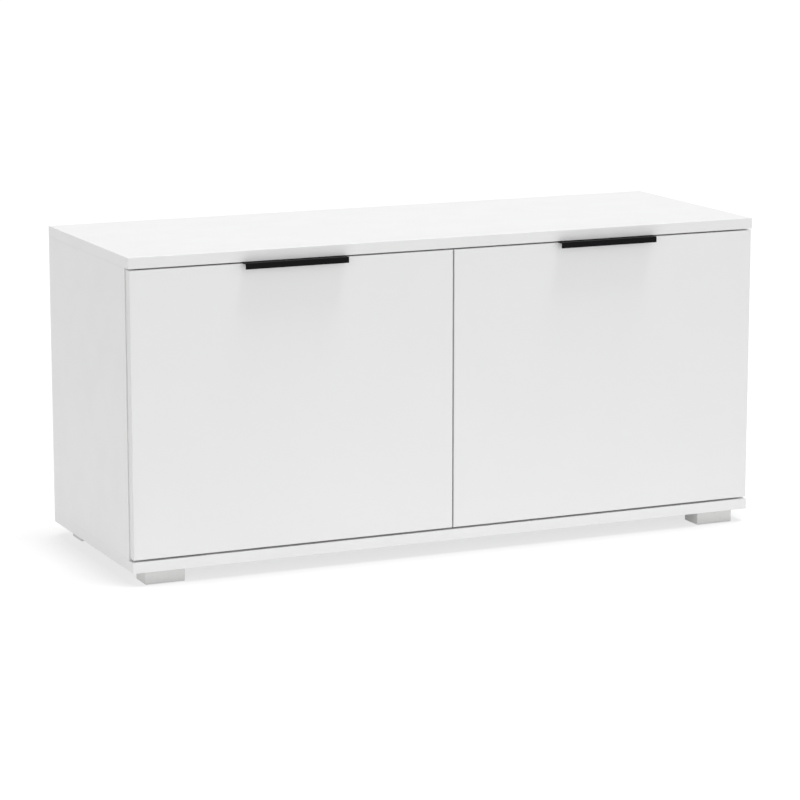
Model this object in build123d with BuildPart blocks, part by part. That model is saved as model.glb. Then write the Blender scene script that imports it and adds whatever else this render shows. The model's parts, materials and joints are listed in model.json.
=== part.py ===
from build123d import *
import os
from collections import namedtuple
from math import atan2, cos, hypot, radians, sin

# A low television stand: a carcass of white boards with two compartments, each closed by a
# drop-down door. The doors turn on concealed hinges along their lower edge, are held by
# friction stays when they open, and are pulled by edge handles.
# Millimetres. +X is to the right, the doors face -Y, +Z is up. The origin lies on the floor
# under the middle of the whole stand, handles included.

# Overall sizes of the carcass, without feet and handles
width = 1000.0
depth = 356.0
body_height = 452.0

# Boards and their eased edges
board = 16.0
door_board = 16.0
shelf_board = 16.0
back_board = 3.0
edge_chamfer = 0.3
door_round = 1.0
door_back_bevel = 4.0

# Grooves that hold the back panel
groove_depth = 6.0
groove_inset = 10.0
groove_play = 0.1

# Gaps round the doors
door_end_inset = 1.5
middle_gap = 2.4
swing_clearance = 0.5

# Feet
foot_length = 60.0
foot_width = 40.0
foot_height = 20.0
foot_end_inset = 21.0
foot_front_inset = 8.0
foot_back_inset = 21.0
foot_corner = 1.5
foot_chamfer = 0.8
foot_counterbore_depth = 12.0
foot_screw_spacing = 32.0

# Edge handles, bent from one sheet over the door's upper edge
handle_length = 158.0
handle_reach = 12.0
handle_sheet = 1.5
handle_lip = 8.6
handle_back_leg = 22.0
handle_bend = 0.5
handle_play = 0.7
handle_hole_spacing = 128.0
handle_hole_drop = 12.0

# Concealed hinges
hinge_inset = 90.0
cup_radius = 17.45
cup_depth = 12.3
cup_hole_room = 0.2
cup_edge = 3.0
cup_wall = 0.9
cup_floor = 0.8
cup_flange = 1.0
cup_wing_length = 62.0
cup_wing_height = 15.0
cup_wing_rise = 6.0
cup_wing_corner = 4.0
cup_screw_spacing = 48.0
pivot_inset = 9.0
pivot_rise = 7.2
pivot_pin_radius = 1.25
pivot_eye_radius = 2.1
ear_radius = 2.4
ear_width = 1.6
arm_width = 9.5
arm_sheet = 2.0
arm_side_play = 0.4
arm_length = 52.0
arm_foot_width = 14.0
hook_bend = 4.0
hook_back_bend = 8.0
hook_foot_bend = 3.0
plate_sheet = 2.0
plate_width = 18.0
plate_wing_length = 48.0
plate_wing_width = 12.0
plate_wing_corner = 3.0
plate_screw_spacing = 32.0
plate_screw_reach = 29.0
clamp_screw_reach = 43.0

# Friction stays
stay_plane = 14.0
stay_rise = 120.0
stay_stand = 12.0
stay_closed_angle = 35.0
rod_radius = 3.0
rod_eye_radius = 5.5
rod_eye_width = 7.0
rod_collar_radius = 5.0
rod_collar_length = 6.0
rod_stop_room = 2.0
block_length = 20.0
block_width = 16.0
block_corner = 2.0
block_inner_wall = 3.0
stay_sheet = 2.0
stay_side_play = 0.4
stud_radius = 3.0
stud_length = 7.0
bracket_length = 48.0
bracket_width = 20.0
bracket_screw_spacing = 36.0
bracket_corner = 6.0
ear_stand = 6.0
stay_pin_radius = 2.0
stay_pin_head_radius = 3.4
stay_pin_head_height = 1.0
door_bracket_height = 30.0
door_bracket_width = 16.0
door_bracket_screw_spacing = 18.0

# Magnetic catches
catch_inset = 45.0
catch_width = 30.0
catch_depth = 15.0
catch_height = 12.0
catch_ear_length = 10.0
catch_ear_height = 3.0
catch_corner = 1.0
magnet_width = 24.0
magnet_depth = 9.0
magnet_height = 7.0
catch_air_gap = 0.4
strike_length = 50.0
strike_height = 9.0
strike_sheet = 1.2
strike_drop = 1.5
strike_corner = 2.0
strike_screw_spacing = 40.0

# Bumpers on the back of the doors
bumper_radius = 2.8
bumper_play = 0.3
bumper_top_inset = 25.0
bumper_low_inset = 60.0

# Shelves and their pins
shelf_setback = 40.0
shelf_cable_gap = 20.0
shelf_play = 1.5
shelf_pin_radius = 2.5
shelf_pin_reach = 8.0
shelf_pin_socket = 6.5
shelf_pin_inset = 45.0
shelf_pin_rest = 0.05
shelf_hole_pitch = 32.0
shelf_hole_steps = (-1, 0, 1)

# Cable holes in the back panel
cable_hole_radius = 30.0
cable_hole_rise = 100.0

# Dowels, cam discs and cam bolts of the carcass
joint_inset = 50.0
dowel_from_cam = 32.0
dowel_radius = 4.0
dowel_in_panel = 10.0
dowel_in_upright = 20.0
cam_radius = 7.45
cam_height = 12.0
cam_setback = 24.0
bolt_thread_radius = 2.5
bolt_thread_length = 11.0
bolt_shank_radius = 3.0
bolt_bore_radius = 3.5

# Clearance round a pin, screw or plug in its hole, and room past a blind tip
fit = 0.05
tip_room = 0.4

# Sides of the dowels, screws and other pegs that repeat, and of the holes that take them
peg_sides = 6

# Screws, each as head radius, head height, shank radius and shank length
Screw = namedtuple("Screw", "head_radius head_height shank_radius shank_length")
foot_screw = Screw(4.0, 2.6, 2.0, 21.0)
panel_screw = Screw(3.5, 2.2, 2.0, 12.0)
small_screw = Screw(3.0, 1.8, 1.7, 11.5)

# Directions, and ways to stand a cylinder on a plane
RIGHT = (1, 0, 0)
LEFT = (-1, 0, 0)
BACK = (0, 1, 0)
UP = (0, 0, 1)
DOWN = (0, 0, -1)
STANDING = (Align.CENTER, Align.CENTER, Align.MIN)
HANGING = (Align.CENTER, Align.CENTER, Align.MAX)
SIDES = {"left": -1, "right": 1}

# Gaps that the swinging lower edge of a door needs in front of the uprights and over the bottom
back_corner_swing = hypot(pivot_inset, pivot_rise - door_back_bevel)
front_corner_swing = hypot(door_board - pivot_inset - door_round, pivot_rise - door_round) + door_round
door_gap = back_corner_swing - pivot_inset + swing_clearance
bottom_gap = front_corner_swing - pivot_rise + swing_clearance
top_gap = handle_sheet + handle_play

# Main planes of the carcass
front_y = handle_reach - (depth + handle_reach) / 2
back_y = front_y + depth
door_back_y = front_y + door_board
upright_front_y = door_back_y + door_gap
back_board_y = back_y - groove_inset - back_board
bottom_z = foot_height
floor_z = bottom_z + board
top_z = bottom_z + body_height
ceiling_z = top_z - board
side_inner_x = width / 2 - board
divider_x = board / 2

# Doors and hinge axis
door_outer_x = width / 2 - door_end_inset
door_inner_x = middle_gap / 2
door_middle_x = (door_outer_x + door_inner_x) / 2
door_low_z = floor_z + bottom_gap
door_high_z = ceiling_z - top_gap
pivot_y = door_back_y - pivot_inset
pivot_z = door_low_z + pivot_rise
cup_hole_radius = cup_radius + fit
cup_z = door_low_z + cup_edge + cup_hole_radius
hinge_xs = {"outer": side_inner_x - hinge_inset, "inner": divider_x + hinge_inset}

# The stay's two pivots lie equally far from the hinge axis, so that the rod and the block turn
# by exactly half the door's angle
door_pin_y = pivot_inset + stay_stand
stay_radius = hypot(door_pin_y, stay_rise)
block_angle = atan2(stay_rise, door_pin_y) - radians(stay_closed_angle)
door_pin = (pivot_y + door_pin_y, pivot_z + stay_rise)
block_pin = (pivot_y + stay_radius * cos(block_angle), pivot_z + stay_radius * sin(block_angle))
stay_open_span = 2 * stay_radius * sin(radians(90 + stay_closed_angle) / 2)
rod_length = stay_open_span + block_length / 2 + rod_stop_room + rod_collar_length
rod_direction = (0, block_pin[0] - door_pin[0], block_pin[1] - door_pin[1])

# Shelf, its pins and the fasteners of the uprights
shelf_z = (floor_z + ceiling_z - shelf_board) / 2
shelf_front_y = upright_front_y + shelf_setback
shelf_back_y = back_board_y - shelf_cable_gap
shelf_pin_z = shelf_z - shelf_pin_radius - shelf_pin_rest
shelf_pin_ys = (shelf_front_y + shelf_pin_inset, shelf_back_y - shelf_pin_inset)
cam_ys = (upright_front_y + joint_inset, back_board_y - joint_inset)
dowel_ys = (cam_ys[0] + dowel_from_cam, cam_ys[1] - dowel_from_cam)
cam_hole_depth = cam_height + tip_room


def save(piece, name):
    """Names a finished piece and writes it."""
    piece.part.label = name
    export_step(piece.part, f"parts/{name}.step")


def block(low, high, mode=Mode.ADD):
    """Adds a box from its low corner to its high corner to the open part, in any corner order."""
    corners = [sorted(pair) for pair in zip(low, high)]
    with Locations(tuple(pair[0] for pair in corners)):
        Box(*[pair[1] - pair[0] for pair in corners], align=(Align.MIN, Align.MIN, Align.MIN), mode=mode)


def facing(direction, points):
    """Planes at the points, each looking along the direction."""
    return [Plane(origin=point, z_dir=direction) for point in points]


def pegs(planes, radius, length, mode=Mode.ADD):
    """Adds a peg on each plane to the open part, or cuts it; a negative length goes below the plane."""
    with BuildSketch(*planes) as outlines:
        RegularPolygon(radius, peg_sides)
    extrude(outlines.sketch, amount=length, mode=mode)


def drill(seats, screw):
    """Drills the open part for screws whose heads rest on the seats."""
    pegs(seats, screw.shank_radius + fit, -screw.shank_length - tip_room, mode=Mode.SUBTRACT)


def add_screws(seats, screw):
    """Adds pan-head screws to the open part, with their heads on the seats."""
    pegs(seats, screw.head_radius, screw.head_height)
    pegs(seats, screw.shank_radius, -screw.shank_length)


# Seats of the fasteners. Dowels hold the sides and the divider, and cam bolts pull the sides tight.
side_middle_x = side_inner_x + board / 2
bolt_xs = (-side_middle_x, side_middle_x)
dowel_xs = (-side_middle_x, 0.0, side_middle_x)
top_bolts = facing(UP, [(x, y, ceiling_z) for x in bolt_xs for y in cam_ys])
low_bolts = facing(DOWN, [(x, y, floor_z) for x in bolt_xs for y in cam_ys])
bolt_seats = top_bolts + low_bolts
top_dowels = facing(UP, [(x, y, ceiling_z) for x in dowel_xs for y in dowel_ys])
low_dowels = facing(DOWN, [(x, y, floor_z) for x in dowel_xs for y in dowel_ys])
dowel_seats = top_dowels + low_dowels


def inward(side):
    """Direction from a side panel into its compartment."""
    return LEFT if side > 0 else RIGHT


def cam_seats(side):
    """Seats of the cam discs in the inner face of one side panel."""
    heights = (floor_z + cam_setback, ceiling_z - cam_setback)
    return facing(inward(side), [(side * side_inner_x, y, z) for y in cam_ys for z in heights])


def shelf_holes(face_x, face, steps):
    """Seats of the shelf-pin holes in one face of an upright."""
    points = [(face_x, y, shelf_pin_z + step * shelf_hole_pitch) for y in shelf_pin_ys for step in steps]
    return facing(face, points)


foot_points = {
    "front_left": (-1, front_y + foot_front_inset + foot_width / 2),
    "front_right": (1, front_y + foot_front_inset + foot_width / 2),
    "rear_left": (-1, back_y - foot_back_inset - foot_width / 2),
    "rear_right": (1, back_y - foot_back_inset - foot_width / 2),
}
foot_x = width / 2 - foot_end_inset - foot_length / 2
foot_screw_xs = (foot_x - foot_screw_spacing / 2, foot_x + foot_screw_spacing / 2)


def foot_screw_seats_at(side, y, z):
    """Seats of one foot's screws at a height, looking down."""
    return facing(DOWN, [(side * x, y, z) for x in foot_screw_xs])


foot_screw_seats = []
for side, y in foot_points.values():
    foot_screw_seats += foot_screw_seats_at(side, y, foot_counterbore_depth)

plate_top_z = floor_z + plate_sheet
arm_top_z = plate_top_z + arm_sheet


def hinge_screw_seats_at(x):
    """Seats of one hinge's screws: two on the plate's wings and one that clamps the arm."""
    wing_y = pivot_y + plate_screw_reach
    wings = [(x + step * plate_screw_spacing / 2, wing_y, plate_top_z) for step in (-1, 1)]
    return facing(UP, wings + [(x, pivot_y + clamp_screw_reach, arm_top_z)])


hinge_screw_seats = []
for side in SIDES.values():
    for x in hinge_xs.values():
        hinge_screw_seats += hinge_screw_seats_at(side * x)


def stay_x(side, from_side):
    """X of a point of the stay, from its distance to the side panel's inner face."""
    return side * (side_inner_x - from_side)


def bracket_screw_seats(side):
    """Seats of the screws of the stay's bracket on the side panel."""
    heights = (block_pin[1] - bracket_screw_spacing / 2, block_pin[1] + bracket_screw_spacing / 2)
    return facing(inward(side), [(stay_x(side, stay_sheet), block_pin[0], z) for z in heights])


catch_x = divider_x + catch_inset
catch_y = door_back_y + strike_sheet + catch_air_gap


def catch_screw_seats_at(side):
    """Seats of the screws that hold a catch under the top panel."""
    reach = (catch_width + catch_ear_length) / 2
    points = [(side * catch_x + step * reach, catch_y + catch_depth / 2, ceiling_z - catch_ear_height)
              for step in (-1, 1)]
    return facing(DOWN, points)


catch_screw_seats = catch_screw_seats_at(-1) + catch_screw_seats_at(1)

# Seats of the screws in the back of a door
door_ear_far = stay_plane + rod_eye_width / 2 + stay_side_play + stay_sheet
door_bracket_far = door_ear_far + door_bracket_width
strike_z = door_high_z - strike_drop - strike_height / 2


def cup_screw_seats(x):
    """Seats of the two screws of a hinge cup."""
    points = [(x + step * cup_screw_spacing / 2, door_back_y + cup_flange, cup_z + cup_wing_rise)
              for step in (-1, 1)]
    return facing(BACK, points)


def door_bracket_screw_seats(side):
    """Seats of the screws of the stay's bracket on the door."""
    x = stay_x(side, door_ear_far + door_bracket_width / 2)
    points = [(x, door_back_y + stay_sheet, door_pin[1] + step * door_bracket_screw_spacing / 2)
              for step in (-1, 1)]
    return facing(BACK, points)


def strike_screw_seats(side):
    """Seats of the screws of the catch's strike plate."""
    x = side * catch_x
    points = [(x + step * strike_screw_spacing / 2, door_back_y + strike_sheet, strike_z)
              for step in (-1, 1)]
    return facing(BACK, points)


def handle_screw_seats(side):
    """Seats of the screws on the handle's back leg."""
    points = [(side * door_middle_x + step * handle_hole_spacing / 2, door_back_y + handle_sheet,
               door_high_z - handle_hole_drop) for step in (-1, 1)]
    return facing(BACK, points)


def door_screw_seats(side):
    """Seats of all like screws in the back of one door, without the handle's."""
    seats = door_bracket_screw_seats(side) + strike_screw_seats(side)
    for x in hinge_xs.values():
        seats += cup_screw_seats(side * x)
    return seats


os.makedirs("parts", exist_ok=True)

# Top panel, as wide as the whole stand, with the sockets of the uprights and the back's groove
with BuildPart() as top_panel:
    block((-width / 2, front_y, ceiling_z), (width / 2, back_y, top_z))
    chamfer(top_panel.edges(), edge_chamfer)
    block(
        (-side_inner_x - groove_depth, back_board_y - groove_play, ceiling_z - groove_depth),
        (side_inner_x + groove_depth, back_board_y + back_board + groove_play, ceiling_z + groove_depth),
        mode=Mode.SUBTRACT,
    )
    pegs(top_bolts, bolt_thread_radius + fit, bolt_thread_length + tip_room, mode=Mode.SUBTRACT)
    pegs(top_dowels, dowel_radius + fit, dowel_in_panel + tip_room, mode=Mode.SUBTRACT)
    drill(catch_screw_seats, small_screw)
save(top_panel, "top_panel")

# Bottom panel, the same size, with the holes of the feet and of the hinge plates as well
with BuildPart() as bottom_panel:
    block((-width / 2, front_y, bottom_z), (width / 2, back_y, floor_z))
    chamfer(bottom_panel.edges(), edge_chamfer)
    block(
        (-side_inner_x - groove_depth, back_board_y - groove_play, floor_z - groove_depth),
        (side_inner_x + groove_depth, back_board_y + back_board + groove_play, floor_z + groove_depth),
        mode=Mode.SUBTRACT,
    )
    pegs(low_bolts, bolt_thread_radius + fit, bolt_thread_length + tip_room, mode=Mode.SUBTRACT)
    pegs(low_dowels, dowel_radius + fit, dowel_in_panel + tip_room, mode=Mode.SUBTRACT)
    drill(foot_screw_seats, foot_screw)
    drill(hinge_screw_seats, panel_screw)
save(bottom_panel, "bottom_panel")


def at_upright(seats, x):
    """Those of the seats that lie in the ends of the upright at X."""
    return [seat for seat in seats if abs(seat.origin.X - x) < board]


def bore_for_dowels(x):
    """Drills the ends of the upright at X for its dowels."""
    pegs(at_upright(dowel_seats, x), dowel_radius + fit, -dowel_in_upright - tip_room, mode=Mode.SUBTRACT)


# Side panels, standing between bottom and top
for name, side in SIDES.items():
    with BuildPart() as side_panel:
        block((side * side_inner_x, upright_front_y, floor_z), (side * width / 2, back_y, ceiling_z))
        chamfer(side_panel.edges().filter_by(Axis.Z), edge_chamfer)
        block(
            (side * (side_inner_x - groove_depth), back_board_y - groove_play, floor_z),
            (side * (side_inner_x + groove_depth), back_board_y + back_board + groove_play, ceiling_z),
            mode=Mode.SUBTRACT,
        )
        bore_for_dowels(side * side_middle_x)
        bolts = at_upright(bolt_seats, side * side_middle_x)
        pegs(bolts, bolt_bore_radius, -cam_setback, mode=Mode.SUBTRACT)
        pegs(cam_seats(side), cam_radius + fit, -cam_hole_depth, mode=Mode.SUBTRACT)
        pin_holes = shelf_holes(side * side_inner_x, inward(side), shelf_hole_steps)
        pegs(pin_holes, shelf_pin_radius + fit, -shelf_pin_socket - tip_room, mode=Mode.SUBTRACT)
        drill(bracket_screw_seats(side), panel_screw)
    save(side_panel, f"{name}_side_panel")

# Divider between the two compartments, in front of the back panel
with BuildPart() as centre_divider:
    block((-divider_x, upright_front_y, floor_z), (divider_x, back_board_y - groove_play, ceiling_z))
    chamfer(centre_divider.edges().filter_by(Axis.Z), edge_chamfer)
    bore_for_dowels(0.0)
    for side in SIDES.values():
        pin_holes = shelf_holes(side * divider_x, inward(-side), shelf_hole_steps)
        pegs(pin_holes, shelf_pin_radius + fit, -shelf_pin_socket - tip_room, mode=Mode.SUBTRACT)
save(centre_divider, "centre_divider")

# Back panel in its grooves, with a cable hole behind each lower compartment
back_reach_x = side_inner_x + groove_depth - groove_play
cable_hole_x = (side_inner_x + divider_x) / 2
cable_hole_z = floor_z + cable_hole_rise
cable_points = [(side * cable_hole_x, back_board_y, cable_hole_z) for side in SIDES.values()]
with BuildPart() as back_panel:
    block(
        (-back_reach_x, back_board_y, floor_z - groove_depth + groove_play),
        (back_reach_x, back_board_y + back_board, ceiling_z + groove_depth - groove_play),
    )
    with Locations(*facing(BACK, cable_points)):
        Hole(cable_hole_radius, back_board)
save(back_panel, "back_panel")

# Shelves on their pins, set back behind the doors
for name, side in SIDES.items():
    with BuildPart() as shelf:
        block(
            (side * (divider_x + shelf_play), shelf_front_y, shelf_z),
            (side * (side_inner_x - shelf_play), shelf_back_y, shelf_z + shelf_board),
        )
        chamfer(shelf.edges().filter_by(Axis.X), edge_chamfer)
    save(shelf, f"{name}_shelf")

pin_seats = []
for side in SIDES.values():
    pin_seats += shelf_holes(side * side_inner_x, inward(side), (0,))
    pin_seats += shelf_holes(side * divider_x, inward(-side), (0,))
with BuildPart() as shelf_pins:
    pegs(pin_seats, shelf_pin_radius, shelf_pin_reach)
    pegs(pin_seats, shelf_pin_radius, -shelf_pin_socket)
save(shelf_pins, "shelf_pins")

# Feet: moulded blocks with two deep counterbored screw holes each
for name, (side, y) in foot_points.items():
    x = side * foot_x
    with BuildPart() as foot:
        block(
            (x - foot_length / 2, y - foot_width / 2, 0),
            (x + foot_length / 2, y + foot_width / 2, foot_height),
        )
        chamfer(foot.edges().filter_by(Axis.Z), foot_corner)
        chamfer(foot.faces().sort_by(Axis.Z)[0].edges(), foot_chamfer)
        pegs(foot_screw_seats_at(side, y, 0), foot_screw.head_radius + fit, -foot_counterbore_depth,
             mode=Mode.SUBTRACT)
        drill(foot_screw_seats_at(side, y, foot_counterbore_depth), foot_screw)
    save(foot, f"{name}_foot")

with BuildPart() as foot_screws:
    add_screws(foot_screw_seats, foot_screw)
save(foot_screws, "foot_screws")

# Wooden dowels, half in the top or bottom and half in an upright's end
with BuildPart() as wooden_dowels:
    pegs(dowel_seats, dowel_radius, dowel_in_panel)
    pegs(dowel_seats, dowel_radius, -dowel_in_upright)
save(wooden_dowels, "wooden_dowels")

# Cam discs with the bore that takes the bolt's end
with BuildPart() as cam_discs:
    pegs(cam_seats(-1) + cam_seats(1), cam_radius, -cam_height)
    pegs(bolt_seats, bolt_bore_radius, -cam_setback - tip_room, mode=Mode.SUBTRACT)
save(cam_discs, "cam_discs")

# Cam bolts: thread in the panel, shank through the upright's end into the cam disc
with BuildPart() as cam_bolts:
    pegs(bolt_seats, bolt_thread_radius, bolt_thread_length)
    pegs(bolt_seats, bolt_shank_radius, -cam_setback)
save(cam_bolts, "cam_bolts")


def low_back_edge(door_panel):
    """The door's long edge at the bottom behind, which swings past the uprights."""
    return door_panel.edges().filter_by(Axis.X).sort_by(Axis.Z)[:2].sort_by(Axis.Y)[-1]


# Doors with rounded long edges, bevelled low behind to clear the uprights, and drilled for the
# hinge cups and for everything screwed to their back
for name, side in SIDES.items():
    cup_points = [(side * x, door_back_y, cup_z) for x in hinge_xs.values()]
    with BuildPart() as door_panel:
        block((side * door_inner_x, front_y, door_low_z), (side * door_outer_x, door_back_y, door_high_z))
        chamfer(door_panel.edges().filter_by(Axis.Z), edge_chamfer)
        fillet(door_panel.edges().filter_by(Axis.X) - [low_back_edge(door_panel)], door_round)
        chamfer(low_back_edge(door_panel), door_back_bevel)
        with Locations(*facing(BACK, cup_points)):
            Hole(cup_hole_radius, cup_depth + cup_hole_room)
        drill(door_screw_seats(side), small_screw)
        drill(handle_screw_seats(side), small_screw)
    save(door_panel, f"{name}_door_panel")

# Edge handles: a back leg behind the door, a flange over its edge and a lip in front of it
handle_top_z = door_high_z + handle_sheet
handle_back_y = door_back_y + handle_sheet
handle_front_y = front_y - handle_reach
handle_low_z = door_high_z - handle_back_leg
for name, side in SIDES.items():
    with BuildPart() as handle:
        with BuildSketch(Plane.YZ.offset(side * door_middle_x)):
            with BuildLine():
                FilletPolyline(
                    (handle_back_y, handle_low_z),
                    (handle_back_y, handle_top_z),
                    (handle_front_y, handle_top_z),
                    (handle_front_y, handle_top_z - handle_lip),
                    (handle_front_y + handle_sheet, handle_top_z - handle_lip),
                    (handle_front_y + handle_sheet, door_high_z),
                    (door_back_y, door_high_z),
                    (door_back_y, handle_low_z),
                    radius=handle_bend,
                    close=True,
                )
            make_face()
        extrude(amount=handle_length / 2, both=True)
        drill(handle_screw_seats(side), small_screw)
    save(handle, f"{name}_handle")

    with BuildPart() as handle_screws:
        add_screws(handle_screw_seats(side), small_screw)
    save(handle_screws, f"{name}_handle_screws")

# Hinge cups: a pressed cup with two wings and two ears with the pivot pin riveted between them
cup_floor_y = door_back_y - cup_depth + cup_floor
ear_near = arm_width / 2 + arm_side_play
ear_far = ear_near + ear_width
for name, side in SIDES.items():
    for end, end_x in hinge_xs.items():
        x = side * end_x
        with BuildPart() as hinge_cup:
            with BuildSketch(Plane.XZ.offset(-door_back_y)) as cup_outline:
                with Locations((x, cup_z)):
                    Circle(cup_radius)
            extrude(amount=cup_depth)
            extrude(cup_outline.sketch, amount=-cup_flange)
            with BuildSketch(Plane.XZ.offset(-door_back_y)):
                with Locations((x, cup_z + cup_wing_rise)):
                    Rectangle(cup_wing_length, cup_wing_height)
            extrude(amount=-cup_flange)
            chamfer(hinge_cup.edges().filter_by(Axis.Y).group_by(Axis.X)[0], cup_wing_corner)
            chamfer(hinge_cup.edges().filter_by(Axis.Y).group_by(Axis.X)[-1], cup_wing_corner)
            with BuildSketch(Plane.XZ.offset(-door_back_y - cup_flange)):
                with Locations((x, cup_z)):
                    Circle(cup_radius - cup_wall)
            extrude(amount=cup_flange + cup_depth - cup_floor, mode=Mode.SUBTRACT)
            for step in (-1, 1):
                block(
                    (x + step * ear_near, cup_floor_y, pivot_z - ear_radius),
                    (x + step * ear_far, pivot_y + ear_radius, pivot_z + ear_radius),
                )
            with Locations(*facing(RIGHT, [(x, pivot_y, pivot_z)])):
                Cylinder(pivot_pin_radius, 2 * ear_near)
            drill(cup_screw_seats(x), small_screw)
        save(hinge_cup, f"{name}_{end}_hinge_cup")

    with BuildPart() as door_screws:
        add_screws(door_screw_seats(side), small_screw)
    save(door_screws, f"{name}_door_screws")

# Hinge arms: a strip with an eye on the pivot pin that hooks up out of the cup, over the path of
# the door's lower edge and down to its foot on the mounting plate
hook_reach = hypot(pivot_inset + cup_flange, pivot_rise) + swing_clearance + arm_sheet / 2
arm_foot_z = plate_top_z + arm_sheet / 2
arm_end_y = pivot_y + arm_length
arm_foot_y = pivot_y + hook_reach + hook_foot_bend
for name, side in SIDES.items():
    for end, end_x in hinge_xs.items():
        x = side * end_x
        with BuildPart() as hinge_arm:
            with BuildSketch(Plane.YZ.offset(x)):
                with BuildLine():
                    FilletPolyline(
                        (pivot_y, pivot_z),
                        (pivot_y, pivot_z + hook_reach),
                        (pivot_y + hook_reach, pivot_z + hook_reach),
                        (pivot_y + hook_reach, arm_foot_z),
                        (arm_end_y, arm_foot_z),
                        radius=(hook_bend, hook_back_bend, hook_foot_bend),
                    )
                trace(line_width=arm_sheet)
                with Locations((pivot_y, pivot_z)):
                    Circle(pivot_eye_radius)
                    Circle(pivot_pin_radius + fit, mode=Mode.SUBTRACT)
            extrude(amount=arm_width / 2, both=True)
            block(
                (x - arm_foot_width / 2, arm_foot_y, plate_top_z),
                (x + arm_foot_width / 2, arm_end_y, arm_top_z),
            )
            drill(hinge_screw_seats_at(x), panel_screw)
        save(hinge_arm, f"{name}_{end}_hinge_arm")

        with BuildPart() as hinge_plate:
            block(
                (x - plate_width / 2, arm_foot_y, floor_z),
                (x + plate_width / 2, arm_end_y, plate_top_z),
            )
            with Locations((x, pivot_y + plate_screw_reach, floor_z)):
                Box(plate_wing_length, plate_wing_width, plate_sheet, align=STANDING)
            chamfer(hinge_plate.edges().filter_by(Axis.Z).group_by(Axis.X)[0], plate_wing_corner)
            chamfer(hinge_plate.edges().filter_by(Axis.Z).group_by(Axis.X)[-1], plate_wing_corner)
            drill(hinge_screw_seats_at(x), panel_screw)
        save(hinge_plate, f"{name}_{end}_hinge_plate")

with BuildPart() as hinge_screws:
    add_screws(hinge_screw_seats, panel_screw)
save(hinge_screws, "hinge_screws")

# Friction stays: a bracket with a stud on the side panel, a swivel block on the stud, a rod that
# slides through the block, and a bracket with a pin on the door
block_near = stay_sheet + stay_side_play
block_far = stay_plane + rod_radius + block_inner_wall
stay_pin_length = rod_eye_width + 2 * stay_side_play
for name, side in SIDES.items():
    into = inward(side)
    plate_x = stay_x(side, 0)
    with BuildPart() as stay_bracket:
        block(
            (plate_x, block_pin[0] - bracket_width / 2, block_pin[1] - bracket_length / 2),
            (stay_x(side, stay_sheet), block_pin[0] + bracket_width / 2, block_pin[1] + bracket_length / 2),
        )
        chamfer(stay_bracket.edges().filter_by(Axis.X), bracket_corner)
        with Locations(*facing(into, [(plate_x, *block_pin)])):
            Cylinder(stud_radius, stay_sheet + stud_length, align=STANDING)
        drill(bracket_screw_seats(side), panel_screw)
    save(stay_bracket, f"{name}_stay_bracket")

    block_middle = (stay_x(side, (block_near + block_far) / 2), *block_pin)
    with BuildPart() as stay_block:
        with Locations(Plane(origin=block_middle, x_dir=RIGHT, z_dir=rod_direction)):
            Box(block_far - block_near, block_width, block_length)
        chamfer(stay_block.edges().filter_by(Axis.X), block_corner)
        with Locations(Plane(origin=(stay_x(side, stay_plane), *block_pin), z_dir=rod_direction)):
            Hole(rod_radius + fit, block_length)
        with Locations(*facing(into, [(stay_x(side, block_near), *block_pin)])):
            Hole(stud_radius + fit, stud_length)
    save(stay_block, f"{name}_stay_block")

    eye_middle = (stay_x(side, stay_plane), *door_pin)
    rod_start = Plane(origin=eye_middle, z_dir=rod_direction)
    with BuildPart() as stay_rod:
        with Locations(rod_start):
            Cylinder(rod_radius, rod_length, align=STANDING)
        pegs([rod_start.offset(rod_length)], rod_collar_radius, -rod_collar_length)
        with Locations(*facing(into, [eye_middle])):
            Cylinder(rod_eye_radius, rod_eye_width)
            Hole(stay_pin_radius + fit, rod_eye_width)
    save(stay_rod, f"{name}_stay_rod")

    ear_back_y = door_pin[0] + ear_stand
    ear_x = stay_x(side, door_ear_far - stay_sheet)
    half_height = door_bracket_height / 2
    pin_start = Plane(origin=(ear_x, *door_pin), z_dir=into)
    with BuildPart() as door_bracket:
        block(
            (ear_x, door_back_y, door_pin[1] - ear_stand),
            (stay_x(side, door_ear_far), ear_back_y, door_pin[1] + ear_stand),
        )
        fillet(door_bracket.edges().filter_by(Axis.X).group_by(Axis.Y)[-1], ear_stand - stay_sheet)
        block(
            (ear_x, door_back_y, door_pin[1] - half_height),
            (stay_x(side, door_bracket_far), door_back_y + stay_sheet, door_pin[1] + half_height),
        )
        with Locations(pin_start):
            Cylinder(stay_pin_radius, stay_pin_length, align=HANGING)
        pegs([pin_start.offset(-stay_pin_length)], stay_pin_head_radius, -stay_pin_head_height)
        drill(door_bracket_screw_seats(side), small_screw)
    save(door_bracket, f"{name}_door_bracket")

with BuildPart() as stay_bracket_screws:
    for side in SIDES.values():
        add_screws(bracket_screw_seats(side), panel_screw)
save(stay_bracket_screws, "stay_bracket_screws")

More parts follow.
